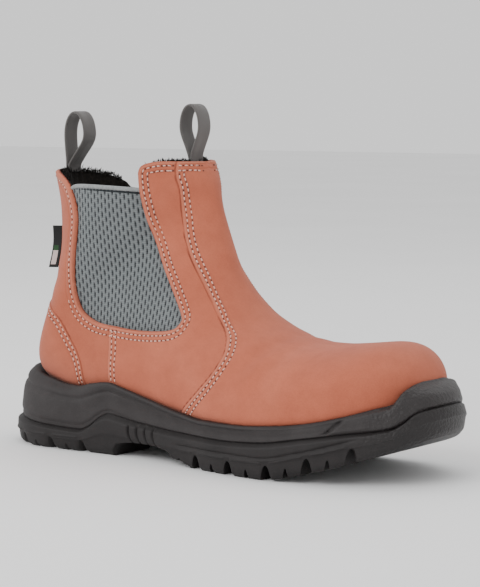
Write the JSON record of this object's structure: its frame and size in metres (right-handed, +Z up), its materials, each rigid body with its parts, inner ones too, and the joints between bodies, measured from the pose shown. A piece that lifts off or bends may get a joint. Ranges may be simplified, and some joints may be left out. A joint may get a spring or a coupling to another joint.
{
  "type": "work boot",
  "caption": "Right ankle work boot, leather upper with elastic side gores, pull loops and a lugged rubber cup sole.",
  "frame": {"origin": "middle of the bounding box's footprint, on the floor the boot stands on", "axes": "+X towards the toe, +Y towards the inner (medial) side, +Z up"},
  "size_m": [0.2864, 0.1043, 0.1932],
  "materials": {
    "nubuck_leather": "matt nubuck nap",
    "gore_elastic": "ribbed elastic weave",
    "insole_textile": "matt felt",
    "midsole_foam": "matt moulded",
    "outsole_rubber": "matt moulded",
    "loop_webbing": "woven tape",
    "tag_weave": "woven label tape"
  },
  "bodies": {
    "root": {"upper": "nubuck_leather", "gore_lateral": "gore_elastic", "gore_medial": "gore_elastic", "insole": "insole_textile", "midsole": "midsole_foam", "outsole": "outsole_rubber", "pull_loop_rear": "loop_webbing", "pull_loop_front": "loop_webbing", "side_tag": "tag_weave"}
  },
  "joints": []
}
